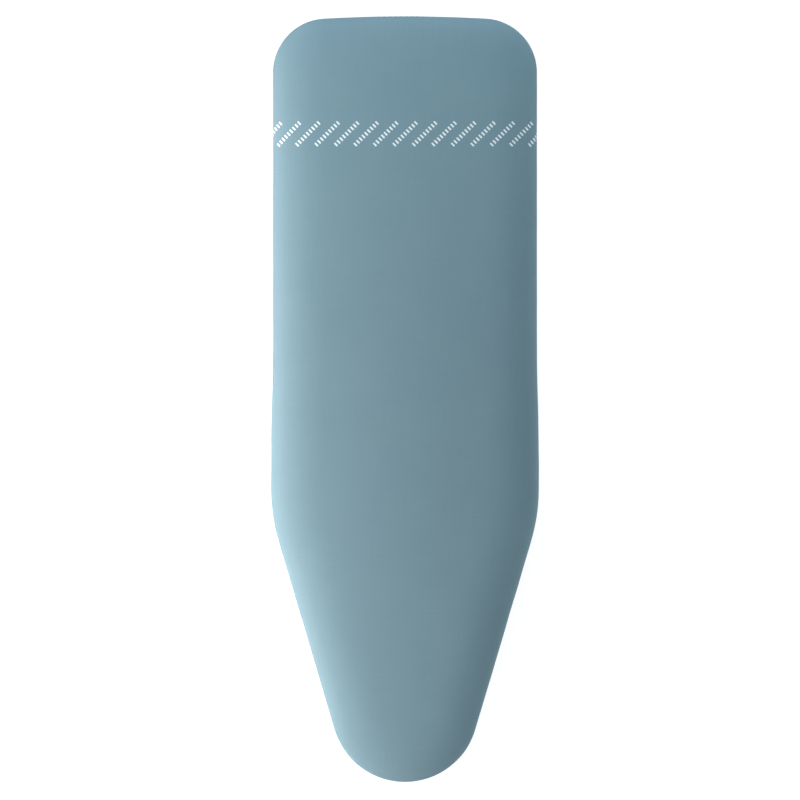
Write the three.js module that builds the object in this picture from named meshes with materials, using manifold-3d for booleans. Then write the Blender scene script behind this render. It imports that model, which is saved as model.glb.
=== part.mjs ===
// Ironing board cover, drawn taut as it sits on its board, with the nose towards -Y and the tail towards +Y.
// Millimetres, +Z up. The origin lies under the middle of the cover, at the level its hem casing rests on.
import * as THREE from "three";
import { mergeVertices } from "three/addons/utils/BufferGeometryUtils.js";
import Module from "manifold-3d";

const wasm = await Module();
wasm.setup();

const { degToRad } = THREE.MathUtils;
const rightAngle = Math.PI / 2;

// Outline, seen from above
const coverLength = 1250;
const widestWidth = 437;
const tailWidth = 431;
const noseRadius = 120;
const taperAngle = degToRad(16.5);
const shoulderRadius = 315;
const widestStretch = 44;
const waistLength = 196;
const tailCornerRadius = 88;
const tailEdgeRadius = 2400;

// The board that the cover fits
const boardThickness = 17;
const boardUnderside = 9.6;
const boardRimRadius = 2;
const boardRollRadius = 45;
const boardCrownRadius = 252;
const crownAngle = degToRad(7);
const rollAngle = degToRad(26);

// Layers
const clothThickness = 0.8;
const feltThickness = 4;
const foamThickness = 4;
const layerGap = 0.3;
const padDrop = 1.3;

// Return flange and its gathers
const returnRadius = 8;
const flangeWidth = 36;
const hemWidth = 8;
const hemBendRadius = 10;
const gatherHeight = 1.3;

// Hem casing and drawcord
const cordDiameter = 3;
const boreGap = 0.4;
const tapeThickness = 0.6;
const casingFlatWidth = 2;
const leafWidth = 7.5;
const casingMouthWidth = 36;
const exitRadius = 14;

// Cord lock, with its plunger along X and the two cords side by side along Y
const cordSpacing = 0.4;
const runningGap = 0.3;
const plungerTravel = 3.2;
const plungerWidth = 10;
const plungerWall = 1;
const plungerWeb = 1.8;
const plungerCornerRadius = 2.4;
const bodySideWall = 1.7;
const bodyWall = 1.2;
const bodyMouthWall = 0.8;
const bodyEndWall = 1.4;
const bodyCornerRadius = 3.4;
const bodyEdgeRadius = 0.6;
const headClearance = 0.5;
const headThickness = 3;
const headOverhang = 1.4;
const headEdgeRadius = 0.7;
const headGrooveDepth = 0.5;
const headGrooveWidth = 1;
const headGroovePitch = 2.4;
const headGrooves = 3;
const springWire = 0.6;
const springDiameter = 4.8;
const springLength = 7.2;
const springCoils = 5;
const lockRide = 0.5;
const lockStandOff = 1;
const lockSlideTravel = 30;

// Clip on the cord's two ends
const clipLength = 12;
const clipWall = 1.2;
const clipBoreDepth = 7;
const clipEdgeRadius = 0.8;
const stopGap = 1;

const overrun = 1;

// Steps round the curves
const noseSteps = 12;
const cornerSteps = 10;
const blendSteps = 3;
const waistSteps = 2;
const tailSteps = 2;
const crownSteps = 2;
const edgeSteps = 3;
const cordSides = 8;
const casingArcSteps = 6;
const exitSteps = 6;
const coilSteps = 8;
const springSides = 6;
const mouldSteps = 3;
const mouldEdgeSteps = 2;

// Derived levels and widths
const packDepth = clothThickness + feltThickness + foamThickness + 2 * layerGap;
const topHeight = boardUnderside + boardThickness + packDepth;
const casingBoreRadius = cordDiameter / 2 + boreGap;
const casingRadius = casingBoreRadius + tapeThickness;
const casingHeight = Math.sqrt(casingRadius ** 2 - (casingFlatWidth / 2) ** 2);
const hemEnd = returnRadius + flangeWidth;
const casingInset = hemEnd + casingRadius + layerGap;
const mouthHalf = casingMouthWidth / 2;

// Walks arcs and straight lines in a plane. Each station has its place and the direction to its left, and a
// stretch with folds marks the stations inside it with them by turns.
function walk(heading, moves) {
  const place = new THREE.Vector2();
  const left = () => new THREE.Vector2(-Math.sin(heading), Math.cos(heading));
  const stations = [{ place: place.clone(), left: left(), fold: 0 }];
  for (const { radius = 0, turn = 0, length = 0, steps, folds = [0] } of moves) {
    const stepTurn = turn / steps;
    const stride = turn ? 2 * radius * Math.sin(Math.abs(stepTurn) / 2) : length / steps;
    for (let step = 1; step <= steps; step += 1) {
      heading += stepTurn / 2;
      place.add(new THREE.Vector2(Math.cos(heading), Math.sin(heading)).multiplyScalar(stride));
      heading += stepTurn / 2;
      const fold = step < steps ? folds[step % folds.length] : 0;
      stations.push({ place: place.clone(), left: left(), fold });
    }
  }
  return stations;
}

// The cloth's gathers rise and fall by turns round the outline, and each keeps its side all across the flange
const upAndDown = [1, -1];
const upright = [1];

// A station's place moved to its left
const inset = (station, depth) => station.place.clone().addScaledVector(station.left, depth);

// The right half of the outline, from the middle of the nose to the middle of the tail
function halfOutline() {
  const halfWidest = widestWidth / 2;
  const taperLength =
    (halfWidest - noseRadius * Math.cos(taperAngle) - shoulderRadius * (1 - Math.cos(taperAngle))) /
    Math.sin(taperAngle);
  const waistTurn = 2 * Math.atan((widestWidth - tailWidth) / 2 / waistLength);
  const waistRadius = waistLength / (2 * Math.sin(Math.abs(waistTurn)));
  const tailTurn = Math.asin((tailWidth / 2 - tailCornerRadius) / (tailEdgeRadius - tailCornerRadius));
  const mouthTurn = Math.asin(mouthHalf / (tailEdgeRadius - casingInset));
  const sideLength =
    coverLength -
    noseRadius * (1 - Math.sin(taperAngle)) -
    taperLength * Math.cos(taperAngle) -
    shoulderRadius * Math.sin(taperAngle) -
    widestStretch -
    waistLength -
    tailCornerRadius * Math.cos(tailTurn) -
    tailEdgeRadius * (1 - Math.cos(tailTurn));
  const stations = walk(0, [
    { radius: noseRadius, turn: rightAngle - taperAngle, steps: noseSteps, folds: upAndDown },
    { length: taperLength, steps: 1 },
    { radius: shoulderRadius, turn: taperAngle, steps: blendSteps },
    { length: widestStretch, steps: 1 },
    { radius: waistRadius, turn: waistTurn, length: waistLength / 2, steps: waistSteps },
    { radius: waistRadius, turn: -waistTurn, length: waistLength / 2, steps: waistSteps },
    { length: sideLength, steps: 1 },
    { radius: tailCornerRadius, turn: rightAngle - tailTurn, steps: cornerSteps, folds: upAndDown },
    { radius: tailEdgeRadius, turn: tailTurn - mouthTurn, steps: tailSteps },
    { radius: tailEdgeRadius, turn: mouthTurn, steps: 1 },
  ]);
  const nose = new THREE.Vector2(0, -coverLength / 2);
  stations.forEach((station) => station.place.add(nose));
  return stations;
}

const mirrored = ({ place, left, fold }) => ({
  place: new THREE.Vector2(-place.x, place.y),
  left: new THREE.Vector2(-left.x, left.y),
  fold,
});

const rightSide = halfOutline();
const outline = [...rightSide, ...rightSide.slice(1, -1).reverse().map(mirrored)];

// The pads have every second station of the outline, plus those at the ends of its arcs
const padOutline = outline.filter(({ fold }, at) => fold === 0 || at % 2 === 0);

// The edge in section: x is the distance in from the outline and y the height. It starts where the flat top
// ends, rolls over the rim, turns back under the board and runs to the hem.
function edgeSection() {
  const crown = boardCrownRadius + packDepth;
  const roll = boardRollRadius + packDepth;
  const rim = boardRimRadius + packDepth;
  const slope = crownAngle + rollAngle;
  const borderWidth =
    crown * Math.sin(crownAngle) + roll * (Math.sin(slope) - Math.sin(crownAngle)) + rim * (1 - Math.sin(slope));
  const border = new THREE.Vector2(borderWidth, topHeight);
  const rounded = [
    { radius: crown, turn: crownAngle, steps: crownSteps },
    { radius: roll, turn: rollAngle, steps: edgeSteps },
    { radius: rim, turn: rightAngle - slope, steps: edgeSteps },
  ];
  const topToRim = walk(Math.PI, rounded);
  const rimEnd = topToRim.at(-1).place.clone().add(border);

  // The flange is the straight line that touches both the turn back and the bend into the hem
  const returnCentre = new THREE.Vector2(returnRadius, rimEnd.y);
  const hemBottom = casingHeight - clothThickness / 2;
  const across = new THREE.Vector2(hemEnd - hemWidth, hemBottom + hemBendRadius).sub(returnCentre);
  const easing = hemBendRadius - returnRadius;
  const flangeHeading = across.angle() - Math.asin(easing / across.length());
  const flangeLength = Math.sqrt(across.lengthSq() - easing ** 2);
  const stations = walk(Math.PI, [
    ...rounded,
    { radius: returnRadius, turn: flangeHeading - 3 * rightAngle, steps: edgeSteps },
    { length: flangeLength, steps: edgeSteps, folds: upright },
    { radius: hemBendRadius, turn: 4 * rightAngle - flangeHeading, steps: 1 },
    { length: hemWidth, steps: 1 },
  ]);
  stations.forEach((station) => station.place.add(border));
  return { stations, rimAt: topToRim.length - 1 };
}

const { stations: edge, rimAt } = edgeSection();

// The pads hang a little below the rim's outermost point, straight down inside the cloth
const padEnd = ({ place, left, fold }) => ({
  place: new THREE.Vector2(place.x, place.y - padDrop),
  left: left.clone(),
  fold,
});

// Follows the outline at a distance in from it and a height, with the gathers raised or lowered by foldHeight
const ring = (stations, { x: distance, y: height }, foldHeight = 0) =>
  stations.map((station) => {
    const { x, y } = inset(station, distance);
    return new THREE.Vector3(x, y, height + station.fold * foldHeight);
  });

// Skins a stack of closed rings into one closed solid, with a flat lid on the first ring and on the last
function loft(rings) {
  const count = rings[0].length;
  const indices = [];
  for (let level = 0; level + 1 < rings.length; level += 1) {
    for (let at = 0; at < count; at += 1) {
      const next = (at + 1) % count;
      const [a, b, c, d] = [at, next, count + at, count + next].map((corner) => corner + level * count);
      indices.push(a, c, b, b, c, d);
    }
  }
  const lid = (points) =>
    THREE.ShapeUtils.triangulateShape(
      points.map(({ x, y }) => new THREE.Vector2(x, y)),
      [],
    );
  const lastLevel = (rings.length - 1) * count;
  lid(rings[0]).forEach(([a, b, c]) => indices.push(a, b, c));
  lid(rings.at(-1)).forEach(([a, b, c]) => indices.push(c + lastLevel, b + lastLevel, a + lastLevel));
  const geometry = new THREE.BufferGeometry();
  const positions = rings.flat().flatMap((point) => point.toArray());
  geometry.setAttribute("position", new THREE.Float32BufferAttribute(positions, 3));
  geometry.setIndex(indices);
  geometry.computeVertexNormals();
  return geometry;
}

// A layer between two depths under the outer surface, as far as a station of the edge
function layer(stations, section, outerDepth, innerDepth) {
  const skin = (depth) => section.map((station) => ring(stations, inset(station, depth), station.fold * gatherHeight));
  return loft([...skin(outerDepth), ...skin(innerDepth).reverse()]);
}

// A route through points, with each step of an extrusion on a point
class PointRoute extends THREE.Curve {
  constructor(points) {
    super();
    this.points = points;
  }

  getPointAt(share, target = new THREE.Vector3()) {
    return target.copy(this.points[Math.round(share * (this.points.length - 1))]);
  }

  getTangentAt(share, target = new THREE.Vector3()) {
    const at = Math.round(share * (this.points.length - 1));
    const here = this.points[at];
    const before = this.points[at - 1] ?? here;
    const after = this.points[at + 1] ?? here;
    const arriving = here.clone().sub(before).normalize();
    const leaving = after.clone().sub(here).normalize();
    return target.addVectors(arriving, leaving).normalize();
  }
}

function sweep(section, points, curveSegments) {
  return new THREE.ExtrudeGeometry(section, {
    extrudePath: new PointRoute(points),
    steps: points.length - 1,
    curveSegments,
  });
}

// Round the nose from one mouth of the casing to the other, both beside the middle of the tail
const tailMiddle = rightSide.length - 1;
const mouthToMouth = [...outline.slice(tailMiddle + 1), ...outline.slice(0, tailMiddle)];
const casingRoute = ring(mouthToMouth, new THREE.Vector2(casingInset, casingHeight));

// The tape in section, folded round the cord, with its two leaves over and under the cloth's hem.
// A path extrusion takes x as the depth under the path and y as the distance in from it.
function tapeSection() {
  const slit = clothThickness / 2 + layerGap;
  const leafHeight = slit + tapeThickness;
  const leafReach = casingInset - hemEnd + leafWidth;
  const flatTurn = Math.asin(casingFlatWidth / 2 / casingRadius);
  const outerTurn = Math.PI - Math.asin(leafHeight / casingRadius);
  const innerTurn = Math.PI - Math.asin(slit / casingBoreRadius);
  const onCircle = (radius, angle) => new THREE.Vector2(-radius * Math.sin(angle), radius * Math.cos(angle));
  const arc = (radius, from, to) =>
    Array.from({ length: casingArcSteps + 1 }, (_, step) =>
      onCircle(radius, THREE.MathUtils.lerp(from, to, step / casingArcSteps)),
    );
  return new THREE.Shape([
    new THREE.Vector2(-leafHeight, -leafReach),
    ...arc(casingRadius, outerTurn, flatTurn - rightAngle),
    onCircle(casingRadius, -flatTurn - rightAngle),
    onCircle(casingRadius, -outerTurn),
    new THREE.Vector2(leafHeight, -leafReach),
    new THREE.Vector2(slit, -leafReach),
    ...arc(casingBoreRadius, -innerTurn, innerTurn),
    new THREE.Vector2(-slit, -leafReach),
  ]);
}

// Cord lock sizes, in its own frame: the origin is midway between the two cords
const windowHeight = cordDiameter + 2 * runningGap;
const plungerHeight = windowHeight + 2 * plungerWall;
const bodyHeight = plungerHeight + 2 * (runningGap + bodyWall);
const bodyWidth = plungerWidth + 2 * (runningGap + bodySideWall);
const cordOffset = (cordDiameter + cordSpacing) / 2;
const gripHalf = cordOffset + cordDiameter / 2 + runningGap;
const plungerEnd = -gripHalf - plungerWeb;
const springEnd = plungerEnd - runningGap - springLength;
const boreEnd = springEnd - runningGap;
const bodyEnd = boreEnd - bodyEndWall;
const bodyMouth = gripHalf + plungerTravel + bodyMouthWall;
const headStart = bodyMouth + plungerTravel + headClearance;
const headEnd = headStart + headThickness;
const headWidth = plungerWidth + 2 * headOverhang;
const headHeight = plungerHeight + 2 * headOverhang;

// Places of the lock, the clip and the cord's way between them
const lockHeight = lockRide + bodyHeight / 2;
const mouthPlace = casingRoute.at(-1).y;
const lockPlace = mouthPlace - exitRadius - lockStandOff - bodyWidth / 2;
const clipStart = lockPlace - bodyWidth / 2 - lockSlideTravel - stopGap;
const cordTip = clipStart - clipBoreDepth + runningGap;

// From the clip through the lock, round to the mouth on the right and out of it
function cordTail() {
  const bendStart = mouthPlace - exitRadius;
  const straight = [cordTip, clipStart, lockPlace - bodyWidth, lockPlace, bendStart].map(
    (y) => new THREE.Vector3(cordOffset, y, lockHeight),
  );
  const bend = Array.from({ length: exitSteps }, (_, at) => {
    const angle = (rightAngle * (at + 1)) / exitSteps;
    const dropShare = (1 - Math.cos(2 * angle)) / 2;
    return new THREE.Vector3(
      cordOffset + exitRadius * (1 - Math.cos(angle)),
      bendStart + exitRadius * Math.sin(angle),
      THREE.MathUtils.lerp(lockHeight, casingHeight, dropShare),
    );
  });
  return [...straight, ...bend];
}

function cordRoute() {
  const right = cordTail();
  const left = right.map(({ x, y, z }) => new THREE.Vector3(-x, y, z));
  return [...left, ...casingRoute, ...right.reverse()];
}

const circle = (radius) => new THREE.Shape().absarc(0, 0, radius, 0, 2 * Math.PI);

function roundedRectangle(width, height, radius) {
  const [right, top] = [width / 2 - radius, height / 2 - radius];
  return new THREE.Shape()
    .absarc(right, top, radius, 0, rightAngle)
    .absarc(-right, top, radius, rightAngle, Math.PI)
    .absarc(-right, -top, radius, Math.PI, 3 * rightAngle)
    .absarc(right, -top, radius, 3 * rightAngle, 4 * rightAngle);
}

// An extrusion along X of a shape drawn in Y and Z, its two ends rounded by edgeRadius
function alongX(width, height, radius, from, to, edgeRadius = 0) {
  const shape = roundedRectangle(width - 2 * edgeRadius, height - 2 * edgeRadius, radius - edgeRadius);
  const geometry = new THREE.ExtrudeGeometry(shape, {
    depth: to - from - 2 * edgeRadius,
    curveSegments: mouldSteps,
    bevelEnabled: edgeRadius > 0,
    bevelThickness: edgeRadius,
    bevelSize: edgeRadius,
    bevelSegments: mouldEdgeSteps,
  });
  geometry.translate(0, 0, from + edgeRadius);
  const [toY, toZ, toX] = [new THREE.Vector3(0, 1, 0), new THREE.Vector3(0, 0, 1), new THREE.Vector3(1, 0, 0)];
  return geometry.applyMatrix4(new THREE.Matrix4().makeBasis(toY, toZ, toX));
}

// The window through a piece of the lock, along the cords
function cordWindow(from, to) {
  const geometry = new THREE.BoxGeometry(to - from, bodyWidth + 2 * overrun, windowHeight);
  return geometry.translate((from + to) / 2, 0, 0);
}

function solid(geometry) {
  const bare = geometry.clone();
  bare.deleteAttribute("normal");
  bare.deleteAttribute("uv");
  const merged = mergeVertices(bare);
  return new wasm.Manifold(
    new wasm.Mesh({
      numProp: 3,
      vertProperties: new Float32Array(merged.attributes.position.array),
      triVerts: new Uint32Array(merged.index.array),
    }),
  );
}

function geometryOf(manifold) {
  const { numProp, vertProperties, triVerts } = manifold.getMesh();
  const geometry = new THREE.BufferGeometry();
  geometry.setAttribute("position", new THREE.BufferAttribute(vertProperties, numProp));
  geometry.setIndex(new THREE.BufferAttribute(triVerts, 1));
  geometry.computeVertexNormals();
  return geometry;
}

// A flat barrel, blind at the spring's end, with the window for the cords through both of its sides
function lockBody() {
  const barrel = alongX(bodyWidth, bodyHeight, bodyCornerRadius, bodyEnd, bodyMouth, bodyEdgeRadius);
  const bore = alongX(
    plungerWidth + 2 * runningGap,
    plungerHeight + 2 * runningGap,
    plungerCornerRadius + runningGap,
    boreEnd,
    bodyMouth + overrun,
  );
  const openWindow = cordWindow(-gripHalf - plungerTravel, gripHalf);
  return geometryOf(solid(barrel).subtract(solid(bore)).subtract(solid(openWindow)));
}

// The push button: its window lines up with the body's when it is pressed, and pinches the cords when it isn't
function lockPlunger() {
  const stem = alongX(plungerWidth, plungerHeight, plungerCornerRadius, plungerEnd, headStart + headThickness / 2);
  const head = alongX(headWidth, headHeight, plungerCornerRadius + headOverhang, headStart, headEnd, headEdgeRadius);
  const openWindow = cordWindow(-gripHalf, gripHalf + plungerTravel);
  const grooves = Array.from({ length: headGrooves }, (_, at) => {
    const place = (at - (headGrooves - 1) / 2) * headGroovePitch;
    const groove = new THREE.BoxGeometry(2 * headGrooveDepth, headWidth + 2 * overrun, headGrooveWidth);
    return solid(groove.translate(headEnd, 0, place));
  });
  const button = solid(stem).add(solid(head)).subtract(solid(openWindow));
  return geometryOf(grooves.reduce((left, groove) => left.subtract(groove), button));
}

class Helix extends THREE.Curve {
  getPoint(share, target = new THREE.Vector3()) {
    const angle = 2 * Math.PI * springCoils * share;
    const radius = (springDiameter - springWire) / 2;
    const start = springEnd + springWire / 2;
    return target.set(
      start + (springLength - springWire) * share,
      radius * Math.cos(angle),
      radius * Math.sin(angle),
    );
  }
}

function lockSpring() {
  return new THREE.ExtrudeGeometry(circle(springWire / 2), {
    extrudePath: new Helix(),
    steps: springCoils * coilSteps,
    curveSegments: springSides / 2,
  });
}

// One clip for both ends of the cord, each in a blind bore of its own
function cordEnd() {
  const boreRadius = cordDiameter / 2 + runningGap;
  const width = 2 * (cordOffset + boreRadius + clipWall);
  const height = 2 * (boreRadius + clipWall);
  const block = alongX(width, height, height / 2, 0, clipLength, clipEdgeRadius);
  const quarterTurn = new THREE.Matrix4().makeRotationZ(-rightAngle);
  const bores = [-1, 1].map((side) => {
    const bore = new THREE.CylinderGeometry(boreRadius, boreRadius, clipBoreDepth + overrun, cordSides);
    return solid(bore.translate(side * cordOffset, (overrun - clipBoreDepth) / 2, 0));
  });
  return geometryOf(bores.reduce((left, bore) => left.subtract(bore), solid(block.applyMatrix4(quarterTurn))));
}

function piece(name, geometry, colour, roughness, metalness = 0) {
  const mesh = new THREE.Mesh(geometry, new THREE.MeshStandardMaterial({ color: colour, roughness, metalness }));
  mesh.name = name;
  return mesh;
}

const cover = new THREE.Group();
const padEdge = [...edge.slice(0, rimAt + 1), padEnd(edge[rimAt])];
const feltDepth = clothThickness + layerGap;
const foamDepth = feltDepth + feltThickness + layerGap;
cover.add(
  piece("cover_cloth", layer(outline, edge, 0, clothThickness), "#7894a0", 0.85),
  piece("felt_layer", layer(padOutline, padEdge, feltDepth, feltDepth + feltThickness), "#c9c6bd", 0.95),
  piece("foam_layer", layer(padOutline, padEdge, foamDepth, packDepth), "#e4dfc9", 0.9),
  piece("hem_casing", sweep(tapeSection(), casingRoute), "#7893a0", 0.85),
  piece("drawcord", sweep(circle(cordDiameter / 2), cordRoute(), cordSides / 2), "#f2f1ec", 0.8),
);

const lock = new THREE.Group();
lock.position.set(0, lockPlace, lockHeight);
lock.add(
  piece("lock_body", lockBody(), "#3b4045", 0.5),
  piece("lock_plunger", lockPlunger(), "#4a5056", 0.5),
  piece("lock_spring", lockSpring(), "#b8bcc0", 0.3, 1),
);

const clip = piece("cord_end", cordEnd(), "#3b4045", 0.5);
clip.position.set(0, clipStart, lockHeight);
cover.add(lock, clip);

export default cover;
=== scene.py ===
"""Ironing board cover, drawn tight: its fabrics, pads, corded hem and cord lock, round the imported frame."""

import logging
import math
import random
from collections.abc import Callable, Iterable, Sequence
from dataclasses import dataclass, field
from enum import Enum
from typing import Any

import bmesh
import bpy
from mathutils import Matrix, Vector


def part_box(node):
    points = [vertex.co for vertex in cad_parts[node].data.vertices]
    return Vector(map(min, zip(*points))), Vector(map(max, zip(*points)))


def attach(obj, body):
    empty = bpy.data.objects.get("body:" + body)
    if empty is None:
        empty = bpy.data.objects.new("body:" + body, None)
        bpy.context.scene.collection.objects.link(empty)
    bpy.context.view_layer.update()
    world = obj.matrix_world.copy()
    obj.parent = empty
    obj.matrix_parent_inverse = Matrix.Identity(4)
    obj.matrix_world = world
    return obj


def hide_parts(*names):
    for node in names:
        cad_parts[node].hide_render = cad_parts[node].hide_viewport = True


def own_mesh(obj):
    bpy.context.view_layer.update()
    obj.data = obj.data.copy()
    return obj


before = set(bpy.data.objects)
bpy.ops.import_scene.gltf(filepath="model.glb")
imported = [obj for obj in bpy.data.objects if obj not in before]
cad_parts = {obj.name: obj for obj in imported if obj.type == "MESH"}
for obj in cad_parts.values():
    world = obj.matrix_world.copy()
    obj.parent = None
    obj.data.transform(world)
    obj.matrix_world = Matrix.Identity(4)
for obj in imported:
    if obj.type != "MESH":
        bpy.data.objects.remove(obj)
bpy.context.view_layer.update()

LOG = logging.getLogger("ironing_board_cover")
Socket = bpy.types.NodeSocket
Form = bmesh.types.BMesh
Piece = bpy.types.Object
MM = 0.001
RIGHT_ANGLE = math.pi / 2
FULL_TURN = 2 * math.pi
WELD = 1e-7
CLIP_DEPTH = 6.7 * MM
CORNER_STEPS = 10
EDGE_STEPS = 4
MOULDED_CREASE = 35.0


def linear(code: str) -> tuple[float, float, float, float]:
    """Turn an sRGB hex colour into linear light.

    Args:
        code: Six hex digits after a hash sign.

    Returns:
        Red, green and blue in linear light, and an alpha of one.
    """
    shares = [int(code[at : at + 2], 16) / 255 for at in (1, 3, 5)]
    light = [s / 12.92 if s <= 0.04045 else ((s + 0.055) / 1.055) ** 2.4 for s in shares]
    return (*light, 1.0)


def add_node(
    tree: bpy.types.NodeTree, kind: str, inputs: dict[Any, Any] | None = None, **settings: Any
) -> bpy.types.Node:
    """Add one shader node with its settings, values and links.

    Args:
        tree: The node tree that gets the node.
        kind: The node's type name, without the "ShaderNode" that all of them start with.
        inputs: Socket names or numbers, each with a value or with the output socket linked to it.
        settings: Attributes of the node.

    Returns:
        The new node.
    """
    node = tree.nodes.new(f"ShaderNode{kind}")
    for name, value in settings.items():
        setattr(node, name, value)
    for key, value in (inputs or {}).items():
        if isinstance(value, Socket):
            tree.links.new(value, node.inputs[key])
        else:
            node.inputs[key].default_value = value
    return node


def bare_nodes(owner: bpy.types.Material | bpy.types.World) -> bpy.types.NodeTree:
    """Give a material or the world an empty node tree.

    Args:
        owner: The material or the world.

    Returns:
        Its node tree.
    """
    owner.use_nodes = True
    owner.node_tree.nodes.clear()
    return owner.node_tree


def wave_scale(period: float) -> float:
    """Give a wave texture's scale for a period: at a scale of one it is a twentieth of a full turn."""
    return FULL_TURN / (20 * period)


@dataclass(frozen=True)
class Coat:
    """A material under way: its nodes, its shader and the coordinates of its patterns, in metres."""

    tree: bpy.types.NodeTree
    shader: bpy.types.Node
    place: Socket

    def tint(self, share: Socket, under: Socket | str, over: Socket | str) -> Socket:
        """Lay one colour over another and give the shader the result.

        Args:
            share: How much of the upper colour shows, from nought to one.
            under: The lower colour, linked or as a hex value.
            over: The upper colour, linked or as a hex value.

        Returns:
            The mixed colour.
        """
        low, high = (linear(colour) if isinstance(colour, str) else colour for colour in (under, over))
        mix = add_node(self.tree, "Mix", {"Factor": share, 6: low, 7: high}, data_type="RGBA")
        self.tree.links.new(mix.outputs[2], self.shader.inputs["Base Color"])
        return mix.outputs[2]

    def mottle(self, size: float, tones: tuple[str, str]) -> Socket:
        """Vary the base colour softly.

        Args:
            size: How far apart the patches lie, in metres.
            tones: The colours of the darker and the paler patches.

        Returns:
            The varied colour.
        """
        noise = add_node(self.tree, "TexNoise", {"Vector": self.place, "Scale": 1 / size, "Detail": 3.0})
        return self.tint(noise.outputs["Fac"], *tones)

    def relief(self, height: Socket, depth: float, strength: float = 1.0) -> None:
        """Raise the surface by a pattern.

        Args:
            height: The pattern, from nought to one.
            depth: Its real depth in metres.
            strength: The share of it that shows.
        """
        bump = add_node(self.tree, "Bump", {"Height": height, "Distance": depth, "Strength": strength})
        self.tree.links.new(bump.outputs["Normal"], self.shader.inputs["Normal"])

    def crossed(self, pitch: float, ways: Iterable[tuple[Socket, str]]) -> Socket:
        """Draw two sets of threads that pass over and under each other.

        Args:
            pitch: The distance between two threads, in metres.
            ways: For each set its coordinates, and the one of them that counts its threads.

        Returns:
            The height of the threads, from nought to one.
        """
        scale = wave_scale(pitch)
        first, second = (
            add_node(self.tree, "TexWave", {"Vector": place, "Scale": scale}, bands_direction=way)
            for place, way in ways
        )
        heights = {0: first.outputs["Fac"], 1: second.outputs["Fac"]}
        return add_node(self.tree, "Math", heights, operation="MAXIMUM").outputs[0]


class Pattern(Enum):
    """Where a material's pattern takes its coordinates from."""

    OBJECT = "Object"
    CUT = "cut"


@dataclass(frozen=True)
class Finish:
    """A surface finish: what it is made of, and what that gives the eye."""

    name: str
    colour: str
    roughness: float
    ior: float = 1.5
    specular: float = 0.5
    metallic: float = 0.0
    sheen: float = 0.0
    sheen_roughness: float = 0.5
    coordinates: Pattern = Pattern.OBJECT

    def material(self) -> bpy.types.Material:
        """Build the material, or find the one already built.

        Returns:
            The material.
        """
        made = bpy.data.materials.get(self.name)
        if made:
            return made
        made = bpy.data.materials.new(self.name)
        tree = bare_nodes(made)
        looks = {
            "Base Color": linear(self.colour),
            "Roughness": self.roughness,
            "IOR": self.ior,
            "Specular IOR Level": self.specular,
            "Metallic": self.metallic,
            "Sheen Weight": self.sheen,
            "Sheen Roughness": self.sheen_roughness,
        }
        shader = add_node(tree, "BsdfPrincipled", looks)
        add_node(tree, "OutputMaterial", {"Surface": shader.outputs["BSDF"]})
        if self.coordinates is Pattern.CUT:
            place = add_node(tree, "UVMap", uv_map=Pattern.CUT.value).outputs["UV"]
        else:
            place = add_node(tree, "TexCoord").outputs[Pattern.OBJECT.value]
        self.dress(Coat(tree, shader, place))
        return made

    def dress(self, coat: Coat) -> None:
        """Add the finish's own pattern to the material under way."""


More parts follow.
